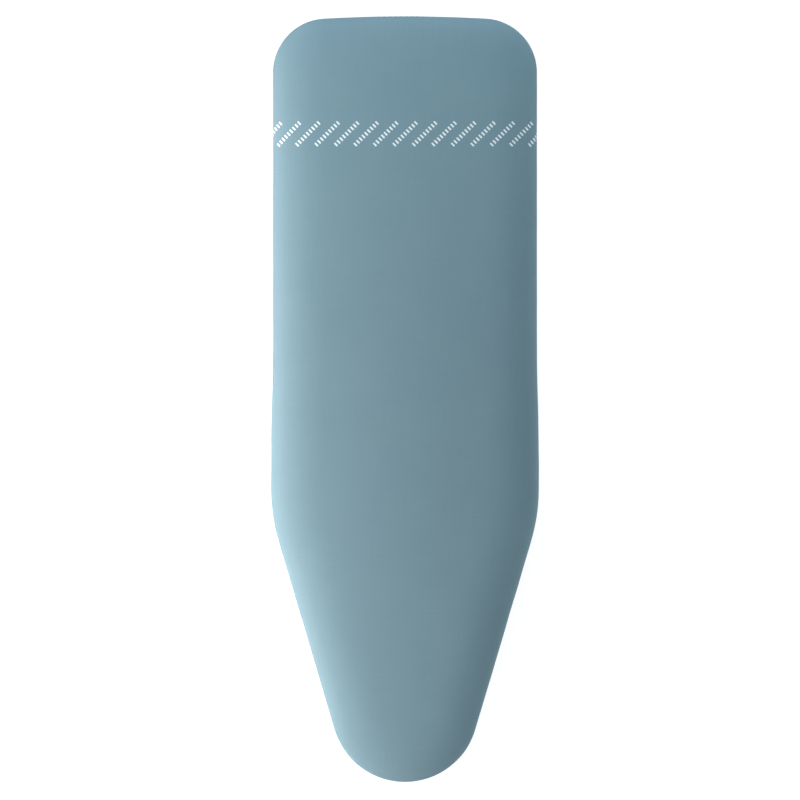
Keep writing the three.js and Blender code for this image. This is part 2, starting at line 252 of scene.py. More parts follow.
@dataclass(frozen=True)
class PrintedCotton(Finish):
    """Piece-dyed plain-woven cotton, calendered, with a band of pale diagonal strokes printed across it."""

    ink: str = "#e6f5fa"
    tones: tuple[str, str] = ("#7292a0", "#7898a4")
    patch: float = 90 * MM
    thread: float = 0.55 * MM
    depth: float = 0.06 * MM
    depth_share: float = 0.35
    slub: tuple[float, float] = (70.0 * MM, 2.2 * MM)
    slub_share: float = 0.03
    band_middle: float = 431.7 * MM
    stroke_pitch: float = 31.7 * MM
    stroke_start: float = -190.0 * MM
    stroke_half_width: float = 3.5 * MM
    stroke_half_length: float = 27.6 * MM
    bar_pitch: float = 6.2 * MM
    bar_share: float = 0.46

    def dress(self, coat: Coat) -> None:
        """Weave the cloth, vary its dye and its yarn a little and print the band.

        Args:
            coat: The material under way.
        """
        dyed = coat.mottle(self.patch, self.tones)
        weave = coat.crossed(self.thread, ((coat.place, "X"), (coat.place, "Y")))
        coat.relief(weave, self.depth, self.depth_share)
        coat.tint(self.band(coat), self.slubs(coat, dyed), self.ink)

    def slubs(self, coat: Coat, colour: Socket) -> Socket:
        """Draw the slightly thicker stretches of yarn, along the weft and along the warp.

        Args:
            coat: The material under way.
            colour: The dyed colour.

        Returns:
            The colour with faint streaks.
        """
        tree, (length, width) = coat.tree, self.slub
        low, high = 1 - self.slub_share, 1 + self.slub_share
        for scale in ((1 / length, 1 / width, 1.0), (1 / width, 1 / length, 1.0)):
            stretched = add_node(tree, "Mapping", {"Vector": coat.place, "Scale": scale}).outputs[0]
            streaks = add_node(tree, "TexNoise", {"Vector": stretched, "Scale": 1.0, "Detail": 1.0})
            spread = {"Value": streaks.outputs["Fac"], "To Min": low, "To Max": high}
            level = add_node(tree, "MapRange", spread).outputs[0]
            scaled = add_node(tree, "VectorMath", {0: colour, "Scale": level}, operation="SCALE")
            colour = scaled.outputs[0]
        return colour

    def band(self, coat: Coat) -> Socket:
        """Mask the printed strokes, each a row of short bars across its own diagonal.

        Args:
            coat: The material under way.

        Returns:
            One on the ink and nought off it.
        """
        parts = add_node(coat.tree, "SeparateXYZ", {0: coat.place}).outputs
        found = {"x": parts["X"], "y": parts["Y"]}
        half_pitch, half_bar = self.stroke_pitch / 2, self.bar_pitch / 2
        diagonal = math.sqrt(2)
        # each step has its name, its operation and its values, which may be the names of earlier steps;
        # a stroke leans at half a right angle, so its place along the band shifts by its rise
        for name, operation, *values in (
            ("rise", "SUBTRACT", "y", self.band_middle),
            ("from_start", "SUBTRACT", "x", self.stroke_start),
            ("shift", "SUBTRACT", "from_start", "rise"),
            ("off", "WRAP", "shift", half_pitch, -half_pitch),
            ("across", "DIVIDE", "off", diagonal),
            ("climb", "MULTIPLY", "rise", diagonal),
            ("along", "ADD", "across", "climb"),
            ("bar", "WRAP", "along", half_bar, -half_bar),
            ("from_stroke", "ABSOLUTE", "across"),
            ("in_stroke", "LESS_THAN", "from_stroke", self.stroke_half_width),
            ("from_middle", "ABSOLUTE", "along"),
            ("in_band", "LESS_THAN", "from_middle", self.stroke_half_length),
            ("from_bar", "ABSOLUTE", "bar"),
            ("in_bar", "LESS_THAN", "from_bar", self.bar_share * half_bar),
            ("in_both", "MULTIPLY", "in_stroke", "in_band"),
            ("ink", "MULTIPLY", "in_both", "in_bar"),
        ):
            inputs = {at: found.get(value, value) for at, value in enumerate(values)}
            found[name] = add_node(coat.tree, "Math", inputs, operation=operation).outputs[0]
        return found["ink"]


@dataclass(frozen=True)
class NeedledFelt(Finish):
    """Needle-punched polyester felt: matted fibres with no direction."""

    tones: tuple[str, str] = ("#bebbb1", "#d8d5cd")
    patch: float = 4 * MM
    fibre: float = 1.2 * MM
    depth: float = 0.5 * MM

    def dress(self, coat: Coat) -> None:
        """Mat the fibres and vary their tone.

        Args:
            coat: The material under way.
        """
        coat.mottle(self.patch, self.tones)
        matted = {"Vector": coat.place, "Scale": 1 / self.fibre, "Detail": 5.0, "Distortion": 2.5}
        coat.relief(add_node(coat.tree, "TexNoise", matted).outputs["Fac"], self.depth)


@dataclass(frozen=True)
class OpenCellFoam(Finish):
    """Cut polyurethane foam: open cells, cream and matt."""

    tones: tuple[str, str] = ("#e0d8ba", "#ebe5cb")
    patch: float = 30 * MM
    cell: float = 1.1 * MM
    # painted shade: the colour that each cell's hollow is darkened to at its bottom
    pit_shade: str = "#b9b092"
    pit_shade_edge: tuple[float, float] = (0.12, 0.42)
    depth: float = 0.5 * MM

    def dress(self, coat: Coat) -> None:
        """Pit the cut face with cells, with painted shade that darkens each towards its bottom.

        Args:
            coat: The material under way.
        """
        face = coat.mottle(self.patch, self.tones)
        spread = {"Vector": coat.place, "Scale": 1 / self.cell, "Randomness": 1.0}
        cells = add_node(coat.tree, "TexVoronoi", spread).outputs["Distance"]
        inner, outer = self.pit_shade_edge
        shade_fall = {"Value": cells, "From Min": inner, "From Max": outer, "To Min": 1.0, "To Max": 0.0}
        # painted shade in each cell's hollow, darkest where the bump is lowest
        coat.tint(add_node(coat.tree, "MapRange", shade_fall).outputs[0], face, self.pit_shade)
        coat.relief(cells, self.depth)


@dataclass(frozen=True)
class WovenTape(Finish):
    """Cotton binding tape in a fine twill."""

    tones: tuple[str, str] = ("#66828f", "#718d9a")
    patch: float = 25 * MM
    thread: float = 0.5 * MM
    depth: float = 0.08 * MM
    depth_share: float = 0.7

    def dress(self, coat: Coat) -> None:
        """Draw the twill's diagonal.

        Args:
            coat: The material under way.
        """
        coat.mottle(self.patch, self.tones)
        lines = {"Vector": coat.place, "Scale": wave_scale(self.thread)}
        twill = add_node(coat.tree, "TexWave", lines, bands_direction="DIAGONAL")
        coat.relief(twill.outputs["Fac"], self.depth, self.depth_share)


@dataclass(frozen=True)
class BraidedPolyester(Finish):
    """White braided polyester cord: strands that cross at a slant round the cord."""

    tones: tuple[str, str] = ("#e0e0da", "#f2f2ee")
    patch: float = 5 * MM
    strand: float = 1.1 * MM
    depth: float = 0.25 * MM

    def dress(self, coat: Coat) -> None:
        """Cross the strands in the cord's own coordinates.

        Args:
            coat: The material under way.
        """
        ways = []
        for turn in (RIGHT_ANGLE / 2, -RIGHT_ANGLE / 2):
            turned = add_node(coat.tree, "Mapping", {"Vector": coat.place, "Rotation": (0, 0, turn)})
            ways.append((turned.outputs[0], "X"))
        braid = coat.crossed(self.strand, ways)
        coat.mottle(self.patch, self.tones)
        coat.relief(braid, self.depth)


@dataclass(frozen=True)
class MouldedAcetal(Finish):
    """Injection-moulded acetal: a fine spark-eroded grain and a soft gloss."""

    grain: float = 0.35 * MM
    depth: float = 0.04 * MM
    roughness_spread: tuple[float, float] = (-0.06, 0.08)

    def dress(self, coat: Coat) -> None:
        """Grain the moulded face.

        Args:
            coat: The material under way.
        """
        fine = {"Vector": coat.place, "Scale": 1 / self.grain, "Detail": 2.0}
        grain = add_node(coat.tree, "TexNoise", fine).outputs["Fac"]
        coat.relief(grain, self.depth)
        low, high = (self.roughness + change for change in self.roughness_spread)
        spread = {"Value": grain, "To Min": low, "To Max": high}
        rough = add_node(coat.tree, "MapRange", spread)
        coat.tree.links.new(rough.outputs[0], coat.shader.inputs["Roughness"])


@dataclass(frozen=True)
class DrawnSteelWire(Finish):
    """Drawn spring steel: bright, with fine lines along the wire."""

    line: float = 0.08 * MM
    depth: float = 0.01 * MM
    depth_share: float = 0.5

    def dress(self, coat: Coat) -> None:
        """Draw the lines of the die."""
        fine = {"Vector": coat.place, "Scale": 1 / self.line, "Detail": 2.0}
        coat.relief(add_node(coat.tree, "TexNoise", fine).outputs["Fac"], self.depth, self.depth_share)


@dataclass(frozen=True)
class SpunThread(Finish):
    """Spun polyester sewing thread with its twist."""

    twist: float = 0.4 * MM
    depth: float = 0.05 * MM

    def dress(self, coat: Coat) -> None:
        """Draw the twist.

        Args:
            coat: The material under way.
        """
        lines = {"Vector": coat.place, "Scale": wave_scale(self.twist)}
        twist = add_node(coat.tree, "TexWave", lines, bands_direction="DIAGONAL")
        coat.relief(twist.outputs["Fac"], self.depth)


# a pressed cotton face: matt blue-grey with a soft, wide lustre where the light grazes it
COTTON = PrintedCotton(
    "calendered_plain_weave_cotton", "#7595a2", 0.6, specular=0.22, coordinates=Pattern.CUT
)
# needled fibres: dull off-white fuzz without a highlight
FELT = NeedledFelt("needled_polyester_felt", "#cbc8bf", 0.97, sheen=0.15)
# open cells: a dry cream face, pitted all over
FOAM = OpenCellFoam("open_cell_polyurethane_foam", "#e6dfc3", 0.95)
# twill tape: the cloth's colour, a little darker, with a fine diagonal
TAPE = WovenTape("cotton_twill_binding", "#6c8895", 0.85, specular=0.3, sheen=0.08)
# braided filament: white with a silky shine along each strand
CORD = BraidedPolyester("braided_polyester_cord", "#eaeae5", 0.6, sheen=0.1, coordinates=Pattern.CUT)
# spark-eroded mould faces: charcoal and slate with a broken, soft gloss
ACETAL = MouldedAcetal("moulded_acetal_charcoal", "#3a4046", 0.45, ior=1.48)
BUTTON = MouldedAcetal("moulded_acetal_slate", "#4b535b", 0.42, ior=1.48)
# drawn wire: bright metal with thin lines
WIRE = DrawnSteelWire("drawn_spring_steel", "#b9bcc0", 0.28, metallic=1.0)
# spun thread: matt and a tone paler than the tape, so that each stitch stands out
THREAD = SpunThread("spun_polyester_thread", "#8ba6b2", 0.8, sheen=0.1)


@dataclass(frozen=True)
class Station:
    """A point on a walk, the direction to its left and how far along the walk it lies."""

    place: Vector
    left: Vector
    run: float
    bend: float = 0.0

    @property
    def ahead(self) -> Vector:
        """The direction of the walk, level with the ground."""
        return Vector((self.left.y, -self.left.x, 0.0))

    def aside(self, distance: float) -> Vector:
        """Move the point to its left."""
        return self.place + self.left * distance

    def raised(self, distance: float, height: float) -> Vector:
        """Move the point to its left and up to a height."""
        spot = self.aside(distance)
        return Vector((spot.x, spot.y, height))


@dataclass(frozen=True)
class Move:
    """One stretch of a walk: an arc when it turns, a straight line when it doesn't."""

    length: float
    turn: float
    steps: int


def arc(radius: float, turn: float, steps: int) -> Move:
    """Turn by an angle, to the left when it is positive."""
    return Move(radius * abs(turn), turn, steps)


def line(length: float, steps: int) -> Move:
    """Go straight on."""
    return Move(length, 0.0, steps)


def walk(heading: float, moves: Iterable[Move], start: Vector) -> list[Station]:
    """Walk arcs and straight lines in a plane.

    Args:
        heading: The first direction, as an angle from the first axis.
        moves: The arcs and lines in order.
        start: The first point.

    Returns:
        The stations, from the start to the end of the last move.
    """
    place, run = start.copy(), 0.0
    stations = [Station(place.copy(), Vector((-math.sin(heading), math.cos(heading))), run)]
    for move in moves:
        turn, stride = move.turn / move.steps, move.length / move.steps
        bend = move.turn / move.length
        chord = stride * math.sin(turn / 2) / (turn / 2) if turn else stride
        for _ in range(move.steps):
            heading += turn / 2
            place = place + Vector((math.cos(heading), math.sin(heading))) * chord
            heading += turn / 2
            run += stride
            stations.append(Station(place.copy(), Vector((-math.sin(heading), math.cos(heading))), run, bend))
    return stations


@dataclass
class Outline:
    """The cover's outline from above, nose towards -Y, as arcs and straight lines that meet smoothly."""

    length: float
    widest_width: float
    tail_width: float = 431 * MM
    nose_radius: float = 120 * MM
    taper_angle: float = math.radians(16.5)
    shoulder_radius: float = 315 * MM
    widest_stretch: float = 44 * MM
    waist_length: float = 196 * MM
    corner_radius: float = 88 * MM
    tail_edge_radius: float = 2400 * MM
    spacing: float = 4.4 * MM
    edge_spacing: float = 2.2 * MM
    bend_spacing: float = 1.5 * MM
    stations: list[Station] = field(init=False)

    def __post_init__(self) -> None:
        """Walk the right half and mirror it."""
        right = walk(0.0, self.half(), Vector((0.0, -self.length / 2)))
        whole = 2 * right[-1].run
        left = [
            Station(Vector((-s.place.x, s.place.y)), Vector((-s.left.x, s.left.y)), whole - s.run, s.bend)
            for s in reversed(right[1:-1])
        ]
        self.stations = right + left

    @property
    def around(self) -> float:
        """The length of the whole outline."""
        return 2 * self.stations[len(self.stations) // 2].run

    def half(self) -> list[Move]:
        """List the moves from the middle of the nose to the middle of the tail.

        Returns:
            The arcs and lines in order.
        """
        slope = self.taper_angle
        taper = (
            self.widest_width / 2
            - self.nose_radius * math.cos(slope)
            - self.shoulder_radius * (1 - math.cos(slope))
        ) / math.sin(slope)
        waist_turn = 2 * math.atan((self.widest_width - self.tail_width) / 2 / self.waist_length)
        waist_radius = self.waist_length / (2 * math.sin(waist_turn))
        tail_turn = math.asin(
            (self.tail_width / 2 - self.corner_radius) / (self.tail_edge_radius - self.corner_radius)
        )
        side = (
            self.length
            - self.nose_radius * (1 - math.sin(slope))
            - taper * math.cos(slope)
            - self.shoulder_radius * math.sin(slope)
            - self.widest_stretch
            - self.waist_length
            - self.corner_radius * math.cos(tail_turn)
            - self.tail_edge_radius * (1 - math.cos(tail_turn))
        )
        bends = [
            (self.nose_radius, RIGHT_ANGLE - slope, self.bend_spacing),
            (taper, 0.0, self.spacing),
            (self.shoulder_radius, slope, self.spacing),
            (self.widest_stretch, 0.0, self.spacing),
            (waist_radius, waist_turn, self.spacing),
            (waist_radius, -waist_turn, self.spacing),
            (side, 0.0, self.spacing),
            (self.corner_radius, RIGHT_ANGLE - tail_turn, self.bend_spacing),
            (self.tail_edge_radius, tail_turn, self.edge_spacing),
        ]
        return [
            arc(size, turn, round(size * abs(turn) / spacing)) if turn else line(size, round(size / spacing))
            for size, turn, spacing in bends
        ]


@dataclass
class Edge:
    """The cover's edge in section: from the flat top over the rim, back under the board and to the hem."""

    top: float
    cloth: float = 0.8 * MM
    felt: float = 4 * MM
    foam: float = 4 * MM
    gap: float = 0.3 * MM
    # the board's bends from its flat top out to its rim: radius, degrees turned and steps
    board_bends: tuple[tuple[float, float, int], ...] = (
        (322 * MM, 4.5, 3),
        (172 * MM, 10.5, 6),
        (61 * MM, 15.0, 5),
        (2 * MM, 60.0, 8),
    )
    return_radius: float = 7 * MM
    flange_width: float = 37 * MM
    hem_width: float = 8 * MM
    hem_bend: float = 10 * MM
    hem_height: float = 2.29 * MM
    margin: float = 3 * MM
    # steps round the return, over the flange, into the hem's bend and along the hem
    under_steps: tuple[int, int, int, int] = (8, 13, 2, 3)
    stations: list[Station] = field(init=False)
    rim_at: int = field(init=False)
    hem_at: int = field(init=False)

    def __post_init__(self) -> None:
        """Walk the section."""
        slope, border, rounded = 0.0, self.margin, [line(self.margin, 1)]
        for inner, degrees, steps in self.board_bends:
            radius, turn = inner + self.depth, math.radians(degrees)
            border += radius * (math.sin(slope + turn) - math.sin(slope))
            slope += turn
            rounded.append(arc(radius, turn, steps))
        start = Vector((border, self.top))
        rim_end = walk(math.pi, rounded, start)[-1].place
        turned = Vector((self.return_radius, rim_end.y))
        hem_bottom = self.hem_height - self.cloth / 2
        across = Vector((self.hem_end - self.hem_width, hem_bottom + self.hem_bend)) - turned
        easing = self.hem_bend - self.return_radius
        heading = math.atan2(across.y, across.x) + 4 * RIGHT_ANGLE - math.asin(easing / across.length)
        round_return, over_flange, into_hem, along_hem = self.under_steps
        under = [
            arc(self.return_radius, heading - 3 * RIGHT_ANGLE, round_return),
            line(math.sqrt(across.length_squared - easing**2), over_flange),
            arc(self.hem_bend, 4 * RIGHT_ANGLE - heading, into_hem),
            line(self.hem_width, along_hem),
        ]
        self.stations = walk(math.pi, rounded + under, start)
        self.rim_at = sum(move.steps for move in rounded)
        # the gathers have their full shape one step into the hem's bend
        self.hem_at = self.rim_at + round_return + over_flange + 1

    @property
    def pad_stations(self) -> list[Station]:
        """The stations that the pads follow, to their cut edge a little above the rim."""
        return self.stations[: self.rim_at - 1]

    @property
    def depth(self) -> float:
        """The depth of cloth, felt and foam together, with the air between them."""
        return self.cloth + self.felt + self.foam + 2 * self.gap

    @property
    def hem_end(self) -> float:
        """How far in from the outline the cloth's cut edge lies."""
        return self.return_radius + self.flange_width


@dataclass
class Skin:
    """A skin shaped from a grid: its columns go round and close on themselves, its rows go across."""

    columns: int
    rows: int
    spot: Callable[[int, int], Vector]
    pattern: Callable[[int, int], Sequence[float]] | None = None
    mesh: Form = field(init=False)
    row_of: bmesh.types.BMLayerItem = field(init=False)
    cut: bmesh.types.BMLayerItem | None = None

    def __post_init__(self) -> None:
        """Make the grid, lay its pattern's coordinates, shape it and weld its last column to its first."""
        self.mesh = bmesh.new()
        self.row_of = self.mesh.verts.layers.int.new("row")
        bmesh.ops.create_grid(self.mesh, x_segments=self.columns, y_segments=self.rows - 1, size=1.0)
        places = [divmod(number, self.columns + 1) for number in range(len(self.mesh.verts))]
        if self.pattern:
            self.cut = self.mesh.loops.layers.uv.new(Pattern.CUT.value)
            for face in self.mesh.faces:
                for loop in face.loops:
                    row, column = places[loop.vert.index]
                    loop[self.cut].uv = self.pattern(column, row)
        for vert, (row, column) in zip(self.mesh.verts, places):
            vert[self.row_of] = row
            vert.co = self.spot(column % self.columns, row)
        bmesh.ops.remove_doubles(self.mesh, verts=self.mesh.verts, dist=WELD)

    def lid(self, row: int) -> bmesh.types.BMFace:
        """Close the skin with one flat face.

        Args:
            row: The row that the face spans.

        Returns:
            The face, with its own place as its pattern's coordinates.
        """
        rim = [e for e in self.mesh.edges if all(v[self.row_of] == row for v in e.verts)]
        face = bmesh.ops.contextual_create(self.mesh, geom=rim)["faces"][0]
        if self.cut:
            for loop in face.loops:
                loop[self.cut].uv = loop.vert.co.xy
        return face

    def close(self) -> None:
        """Put a lid on the first and the last row and turn the faces outwards."""
        for row in (0, self.rows - 1):
            self.lid(row)
        self.face_out()

    def face_out(self, up: bmesh.types.BMFace | None = None) -> None:
        """Turn the faces outwards.

        Args:
            up: On an open skin, a face that looks up when all of them are right.
        """
        bmesh.ops.recalc_face_normals(self.mesh, faces=self.mesh.faces)
        if up:
            up.normal_update()
            if up.normal.z < 0:
                bmesh.ops.reverse_faces(self.mesh, faces=self.mesh.faces)


def linked(name: str, data: bpy.types.ID) -> Piece:
    """Make an object at the origin and link it to the scene.

    Args:
        name: The object's name.
        data: Its mesh, lamp or camera.

    Returns:
        The object.
    """
    made = bpy.data.objects.new(name, data)
    bpy.context.scene.collection.objects.link(made)
    return made


def as_object(name: str, mesh: Form, finish: Finish, crease: float = 40.0) -> Piece:
    """Make a smooth-shaded object at the origin from a finished bmesh.

    Args:
        name: The piece's name.
        mesh: Its bmesh, which is freed.
        finish: Its finish.
        crease: Edges sharper than this many degrees stay sharp.

    Returns:
        The object, linked to the scene.
    """
    data = bpy.data.meshes.new(name)
    mesh.to_mesh(data)
    mesh.free()
    data.polygons.foreach_set("use_smooth", [True] * len(data.polygons))
    data.set_sharp_from_angle(angle=math.radians(crease))
    data.materials.append(finish.material())
    return linked(name, data)


def wall(piece: Piece, thickness: float, offset: float) -> None:
    """Give an open skin its thickness.

    Args:
        piece: The skin's object.
        thickness: The wall's thickness.
        offset: Minus one to grow it inwards, nought to grow it both ways.
    """
    grown = piece.modifiers.new("wall", "SOLIDIFY")
    grown.thickness, grown.offset = thickness, offset


@dataclass
class Tube:
    """A cord or thread: a round tube along a route, with two flat ends."""

    route: Sequence[Vector]
    diameter: float
    sides: int

    def frames(self) -> list[tuple[Vector, Vector, float]]:
        """Find the directions across the tube.

        Returns:
            For each point, the direction to its side, the one above it and how far along the tube it lies.
        """
        found, run = [], 0.0
        for at, point in enumerate(self.route):
            before, after = self.route[max(at - 1, 0)], self.route[min(at + 1, len(self.route) - 1)]
            ahead = (after - before).normalized()
            side = Vector((0, 0, 1)).cross(ahead).normalized()
            run += (point - before).length
            found.append((side, ahead.cross(side), run))
        return found

    def build(self, name: str, finish: Finish) -> Piece:
        """Shape the tube, with coordinates along it and round it.

        Args:
            name: The piece's name.
            finish: Its finish.

        Returns:
            The piece.
        """
        frames = self.frames()
        step = FULL_TURN / self.sides

        def spot(column: int, row: int) -> Vector:
            """Give a point on the tube.

            Args:
                column: Its number round the tube.
                row: Its number along the tube.

            Returns:
                The point.
            """
            side, rise, _ = frames[row]
            turn = step * column
            return self.route[row] + (side * math.cos(turn) + rise * math.sin(turn)) * self.diameter / 2

        skin = Skin(
            self.sides,
            len(self.route),
            spot,
            lambda column, row: (frames[row][2], step * column * self.diameter / 2),
        )
        skin.close()
        return as_object(name, skin.mesh, finish, crease=75.0)


def eased(share: float) -> float:
    """Ease a share in and out, held between nought and one."""
    held = min(1.0, max(0.0, share))
    return held * held * (3 - 2 * held)


@dataclass
class Gathers:
    """The pleats that the drawn cord leaves in cloth and tape, most at the bends and by the mouth."""

    outline: Outline
    height: float = 2.1 * MM
    height_spread: float = 0.35
    hem_height: float = 0.65 * MM
    tight_pitch: float = 12.0 * MM
    loose_pitch: float = 30.0 * MM
    pitch_spread: float = 0.3
    reach: float = 24 * MM
    tight_bend: float = 100 * MM
    least: float = 0.13
    mouth: float = 0.35
    mouth_reach: float = 55 * MM
    lean: float = 0.35
    second_ridge: float = 0.22
    # shares across the flange: where pleats start, how much that varies, where the tape starts and ends
    start: float = 0.22
    start_spread: float = 0.2
    tape_start: float = 0.8
    tape_reach: float = 0.2
    sway_rates: tuple[int, ...] = (7, 12, 19, 31, 44)
    sway_divisor: float = 3
    seed: int = 7
    spare: list[float] = field(init=False)
    turns: list[float] = field(init=False)
    sway: list[float] = field(init=False)

    def __post_init__(self) -> None:
        """Find where there is spare cloth and count the pleats round the outline."""
        chance = random.Random(self.seed)
        waves = [(rate, chance.uniform(0, FULL_TURN)) for rate in self.sway_rates]
        stations, whole = self.outline.stations, self.outline.around
        self.spare = [self.slack(station) for station in stations]
        self.sway = [
            sum(math.sin(FULL_TURN * rate * s.run / whole + start) for rate, start in waves)
            / self.sway_divisor
            for s in stations
        ]
        turn, turns = 0.0, []
        for at, station in enumerate(stations):
            turn += (station.run - stations[at - 1].run if at else 0.0) / self.pitch(at)
            turns.append(turn)
        # a whole number of pleats, so that the last meets the first
        fit = round(turn) / turn
        self.turns = [FULL_TURN * fit * t for t in turns]

    def slack(self, station: Station) -> float:
        """Say how much spare cloth there is.

        Args:
            station: Where on the outline.

        Returns:
            A share from nought to one.
        """
        near = [abs(s.bend) for s in self.outline.stations if abs(s.run - station.run) < self.reach]
        bend = min(1.0, sum(near) / len(near) * self.tight_bend)
        away = (station.place.x / self.mouth_reach) ** 2
        by_mouth = self.mouth * math.exp(-away) if station.place.y > 0 else 0
        return min(1.0, self.least + bend + by_mouth)

    def pitch(self, number: int) -> float:
        """Give the distance from pleat to pleat at a station."""
        pitch = self.loose_pitch + (self.tight_pitch - self.loose_pitch) * eased(self.spare[number])
        return pitch * (1 + self.pitch_spread * self.sway[number])

    def fold(self, number: int, share: float) -> tuple[float, float]:
        """Give the shape of the pleats at one point.

        Args:
            number: The number of the outline's station.
            share: How far across the flange, from nought at the rim to one at the tape and over one beyond.

        Returns:
            How far the cloth rises and how far it slips along the outline, in metres.
        """
        turn, sway = self.turns[number], self.sway[number]
        # uneven factors of turn and sway, so that no pleat is like the next
        start = self.start + self.start_spread * math.sin(0.5 * turn + 3 * sway)
        swell = self.height * eased((share - start) / (self.tape_start - start))
        full = swell + (self.hem_height - swell) * eased((share - self.tape_start) / self.tape_reach)
        height = full * self.spare[number] * (1 + self.height_spread * math.sin(0.31 * turn + 5 * sway))
        ridge = math.sin(turn) + self.second_ridge * math.sin(2 * turn + 4 * sway) * share
        return height * ridge, height * self.lean * math.cos(turn + sway)


@dataclass
class CoverCloth:
    """The one sheet of cotton, taut over the pads and gathered by the cord under the board."""

    outline: Outline
    edge: Edge
    gathers: Gathers
    unevenness: float = 0.45 * MM
    tail_unevenness: float = 0.4
    pucker: float = 0.35 * MM
    pucker_pitch: float = 9.0 * MM
    pucker_reach: float = 45.0 * MM
    least_height: float = 0.1 * MM

    def bulge(self, number: int, row: int) -> float:
        """Say how far the rim stands out, never in: soft bumps along it, and puckers over the hem's mouth.

        Args:
            number: The number of the outline's station.
            row: The row of the section.

        Returns:
            The distance outwards, in metres.
        """
        station, rim = self.outline.stations[number], self.edge.rim_at
        past_rim = (row - rim) / self.edge.under_steps[0]
        near_rim = eased((row - rim / 2) / (rim / 2)) if row <= rim else 1 - eased(past_rim)
        soft = max(0.0, self.unevenness * (0.5 + 0.5 * self.gathers.sway[number]))
        if station.place.y < 0:
            return near_rim * soft
        wave = 0.5 + 0.5 * math.sin(FULL_TURN * station.place.x / self.pucker_pitch)
        fade = math.exp(-((station.place.x / self.pucker_reach) ** 2))
        return near_rim * (soft * self.tail_unevenness + self.pucker * wave * fade)

    @property
    def beyond(self) -> float:
        """How far past the outline the cloth reached when it lay flat."""
        return self.edge.stations[-1].run - self.edge.stations[0].place.x

    def flat_area(self) -> float:
        """Work out the area of the cloth as it was cut, before it was turned under."""
        ring = [s.aside(-self.beyond) for s in self.outline.stations]
        return abs(sum(a.cross(b) for a, b in zip(ring, ring[1:] + ring[:1]))) / 2

    def flat_size(self) -> tuple[float, float]:
        """Give the width and length of the cut cloth."""
        return self.outline.widest_width + 2 * self.beyond, self.outline.length + 2 * self.beyond

    def build(self) -> Piece:
        """Shape the cloth from the flat top to its hem and give it its thickness.

        Returns:
            The piece.
        """
        stations, sections = self.outline.stations, self.edge.stations
        first, last = self.edge.rim_at, self.edge.hem_at
        border = sections[0].place.x

        def spot(column: int, row: int) -> Vector:
            """Give a point of the cloth.

            Args:
                column: The number of the outline's station.
                row: The row of the section.

            Returns:
                The point.
            """
            station, place = stations[column], sections[row].place
            share = (row - first) / (last - first)
            rise, slip = self.gathers.fold(column, share) if share > 0 else (0.0, 0.0)
            height = max(self.least_height, place.y + rise)
            return station.raised(place.x - self.bulge(column, row), height) + station.ahead * slip

        def flat(column: int, row: int) -> Vector:
            """Give the same point on the cloth as it was cut."""
            return stations[column % len(stations)].aside(border - sections[row].run)

        skin = Skin(len(stations), len(sections), spot, flat)
        skin.face_out(skin.lid(0))
        cloth = as_object("cotton_cover", skin.mesh, COTTON, crease=80.0)
        wall(cloth, self.edge.cloth, -1.0)
        return cloth


@dataclass
class Pad:
    """A layer of padding between two depths under the cloth's face, down to a little above the rim."""

    name: str
    node: str
    slot: str
    finish: Finish
    outline: Outline
    edge: Edge
    outer: float
    inner: float
    fill: float = 0.9

    def build(self) -> Piece:
        """Shape the layer down its outer face, round its cut edge and up its inner face.

        Returns:
            The piece.
        """
        stations = self.outline.stations
        face = self.edge.pad_stations
        section = [s.aside(self.outer) for s in face] + [s.aside(self.inner) for s in reversed(face)]
        skin = Skin(
            len(stations),
            len(section),
            lambda column, row: stations[column].raised(section[row].x, section[row].y),
        )
        skin.close()
        return as_object(self.name, skin.mesh, self.finish)


